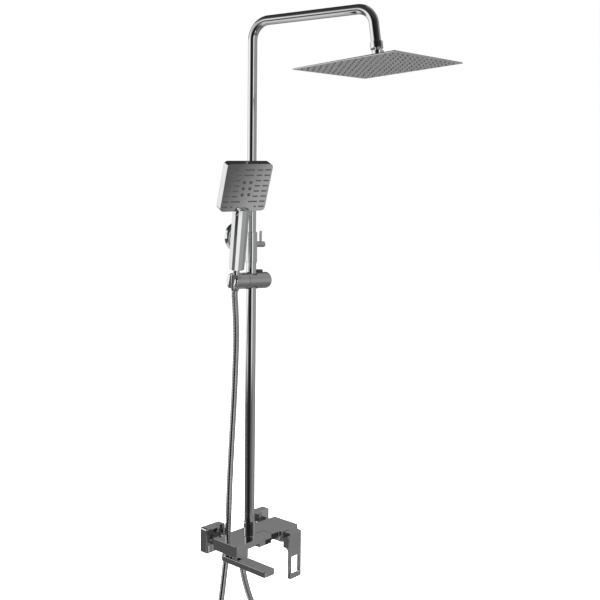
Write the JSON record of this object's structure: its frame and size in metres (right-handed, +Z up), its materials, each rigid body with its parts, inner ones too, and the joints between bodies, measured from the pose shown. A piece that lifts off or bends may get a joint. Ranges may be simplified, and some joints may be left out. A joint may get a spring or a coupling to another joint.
{
  "type": "wall-mounted shower column",
  "caption": "Shower column with a shelf mixer, telescopic riser, swinging arm with a flat square overhead shower, sliding holder, hand shower, hose and swivel spout.",
  "frame": {"origin": "midway between the two wall inlets, on the face of the wall", "axes": "+Z up the riser, +Y into the wall, +X to the right as seen by someone facing the wall"},
  "size_m": [0.3468, 0.5312, 1.6596],
  "materials": {
    "polished_chrome": "polished chrome plate",
    "chromed_plastic": "chrome-plated ABS",
    "hose_metal": "close-wound double-lock metal strip, chromed",
    "seal_rubber": "moulded black rubber",
    "dark_silicone": "soft dark grey silicone",
    "cast_brass": "machined, unplated",
    "stainless_steel": "drawn, bright",
    "black_plastic": "moulded, fine texture",
    "white_plastic": "moulded acetal",
    "ceramic": "lapped ceramic"
  },
  "bodies": {
    "fixed_column": {"mixer_body": "polished_chrome", "cartridge_seal": "seal_rubber", "cartridge_shell": "white_plastic", "ceramic_disc_fixed": "ceramic", "cartridge_nut": "cast_brass", "diverter_spring": "stainless_steel", "escutcheon_left": "polished_chrome", "escutcheon_right": "polished_chrome", "inlet_union_left": "polished_chrome", "inlet_union_right": "polished_chrome", "union_nut_left": "polished_chrome", "union_nut_right": "polished_chrome", "union_washers": "seal_rubber", "hose_outlet": "cast_brass", "hose_hex_nut": "polished_chrome", "hose_washer": "seal_rubber", "riser_base_nut": "polished_chrome", "riser_lower_tube": "polished_chrome", "bracket_sleeve": "polished_chrome", "bracket_arm": "polished_chrome", "wall_plate": "stainless_steel", "wall_screws": "stainless_steel", "wall_flange": "polished_chrome", "shower_hose": "hose_metal"},
    "cartridge_rotor_body": {"cartridge_rotor": "white_plastic", "ceramic_disc_moving": "ceramic"},
    "lever": {"lever_stem": "cast_brass", "lever_handle": "polished_chrome", "lever_set_screw": "stainless_steel"},
    "diverter": {"diverter_key": "polished_chrome", "diverter_spindle": "cast_brass"},
    "swivel_spout": {"spout": "polished_chrome", "spout_seals": "seal_rubber", "aerator": "polished_chrome"},
    "upper_riser": {"riser_upper_tube": "polished_chrome", "telescope_guide_ring": "white_plastic", "arm_spigot": "cast_brass", "arm_joint_seals": "seal_rubber"},
    "arm": {"shower_arm": "polished_chrome", "arm_ring_nut": "polished_chrome", "ball_stud": "polished_chrome"},
    "ball_seat": {"ball_seal": "seal_rubber"},
    "rain_head": {"head_socket": "polished_chrome", "rain_head_cover": "polished_chrome", "rain_head_face": "polished_chrome", "rain_nozzle_mat": "dark_silicone"},
    "slide_bush": {"slider_bush": "black_plastic"},
    "slider": {"slider_body": "chromed_plastic", "brake_shoe": "seal_rubber", "brake_spring": "stainless_steel", "holder_pivot_screw": "stainless_steel"},
    "release_button": {"brake_button": "black_plastic"},
    "holder": {"handset_holder": "chromed_plastic"},
    "handset": {"handset_shell": "chromed_plastic", "handset_face": "chromed_plastic", "handset_nozzles": "dark_silicone", "handset_washer": "seal_rubber", "hose_cone_nut": "polished_chrome"},
    "clamp_screw": {"lock_screw": "polished_chrome", "lock_pin": "polished_chrome"}
  },
  "joints": [
    {"name": "lever_turn", "type": "hinge", "parent": "fixed_column", "child": "cartridge_rotor_body", "pos_m": [0.0605, -0.122, 0], "axis": [0, 1, 0], "range_deg": [-45, 45]},
    {"name": "lever_lift", "type": "hinge", "parent": "cartridge_rotor_body", "child": "lever", "pos_m": [0.0605, -0.122, 0], "axis": [-1, 0, 0], "range_deg": [0, 12]},
    {"name": "diverter_press", "type": "slide", "parent": "fixed_column", "child": "diverter", "axis": [0, 0, -1], "range_m": [0, 0.003], "stiffness_N_per_m": 2500, "springref_m": -0.001, "deforming": ["diverter_spring"]},
    {"name": "spout_swivel", "type": "hinge", "parent": "fixed_column", "child": "swivel_spout", "pos_m": [-0.088, -0.081, -0.01], "axis": [0, 0, 1], "range_deg": [-60, 30]},
    {"name": "riser_telescope", "type": "slide", "parent": "fixed_column", "child": "upper_riser", "axis": [0, 0, 1], "range_m": [-0.1, 0.1]},
    {"name": "arm_swivel", "type": "hinge", "parent": "upper_riser", "child": "arm", "pos_m": [0, -0.057, 1.046], "axis": [0, 0, 1], "range_deg": [-60, 45]},
    {"name": "head_pitch", "type": "hinge", "parent": "arm", "child": "ball_seat", "pos_m": [0.06018, -0.3817, 1.104], "axis": [1, 0, 0], "range_deg": [-10, 10]},
    {"name": "head_roll", "type": "hinge", "parent": "ball_seat", "child": "rain_head", "pos_m": [0.06018, -0.3817, 1.104], "axis": [0, 1, 0], "range_deg": [-10, 10]},
    {"name": "slider_slide", "type": "slide", "parent": "fixed_column", "child": "slide_bush", "axis": [0, 0, 1], "range_m": [-0.33, 0.02], "deforming": ["shower_hose"]},
    {"name": "slider_turn", "type": "hinge", "parent": "slide_bush", "child": "slider", "pos_m": [0, -0.057, 0.6125], "axis": [0, 0, 1], "range_deg": [-20, 30], "deforming": ["shower_hose"]},
    {"name": "button_press", "type": "slide", "parent": "slider", "child": "release_button", "axis": [0, 0, -1], "range_m": [0, 0.0015], "stiffness_N_per_m": 2000, "springref_m": -0.0005},
    {"name": "holder_tilt", "type": "hinge", "parent": "slider", "child": "holder", "pos_m": [-0.03, -0.057, 0.6125], "axis": [1, 0, 0], "range_deg": [-15, 25], "deforming": ["shower_hose"]},
    {"name": "handset_lift", "type": "slide", "parent": "holder", "child": "handset", "axis": [-0.1197, -0.2277, 0.9663], "range_m": [0, 0.05], "deforming": ["shower_hose"]},
    {"name": "clamp_turn", "type": "hinge", "parent": "fixed_column", "child": "clamp_screw", "pos_m": [0.03, -0.057, 0.699], "axis": [1, 0, 0], "range_deg": [-90, 90]}
  ]
}
